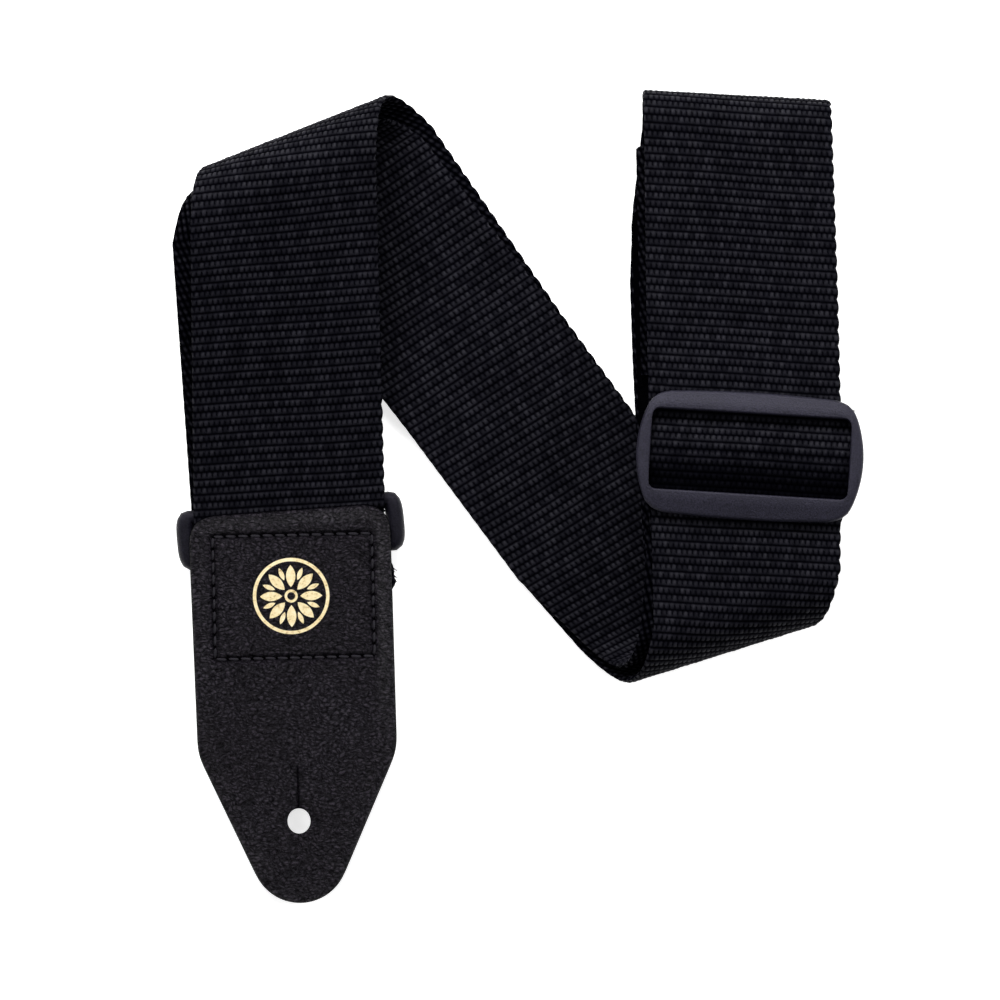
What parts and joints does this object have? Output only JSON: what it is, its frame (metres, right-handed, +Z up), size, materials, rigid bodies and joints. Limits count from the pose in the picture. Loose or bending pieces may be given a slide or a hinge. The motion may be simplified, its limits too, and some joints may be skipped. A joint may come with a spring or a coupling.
{
  "type": "guitar strap",
  "caption": "Folded webbing guitar strap with a three-bar slider, a rectangular ring, and leather ends that button onto a guitar.",
  "frame": {"origin": "on the table, under the middle of the folded strap's outline box", "axes": "+Z up from the table, +Y from the leather end towards the top folds, +X from the left leg to the right leg"},
  "size_m": [0.1836, 0.2167, 0.0271],
  "materials": {
    "webbing": "woven black polypropylene",
    "plastic": "black, finely textured moulding",
    "leather": "black, fine grain, low sheen",
    "thread": "black sewing thread"
  },
  "bodies": {
    "strap": {"strap_webbing": "webbing", "tab_b_leather": "leather", "tab_b_needle_thread": "thread", "tab_b_bobbin_thread": "thread"},
    "slider": {"slider_frame": "plastic", "slider_loop_webbing": "webbing"},
    "ring": {"ring": "plastic"},
    "tab_a": {"tab_a_leather": "leather", "tab_a_needle_thread": "thread", "tab_a_bobbin_thread": "thread", "keeper_webbing": "webbing"}
  },
  "joints": [
    {"name": "slider_slide", "type": "slide", "parent": "strap", "child": "slider", "axis": [-0.0227, 0.9987, -0.0454], "range_m": [-0.0075, 0.065]},
    {"name": "ring_swing", "type": "hinge", "parent": "strap", "child": "ring", "pos_m": [-0.06107, -0.00316, 0.0042], "axis": [0.9954, 0.0958, 0], "range_deg": [-20, 60]},
    {"name": "tab_a_swing", "type": "hinge", "parent": "ring", "child": "tab_a", "pos_m": [-0.05993, -0.0149, 0.0042], "axis": [0.9954, 0.0958, 0], "range_deg": [-3, 60]}
  ]
}
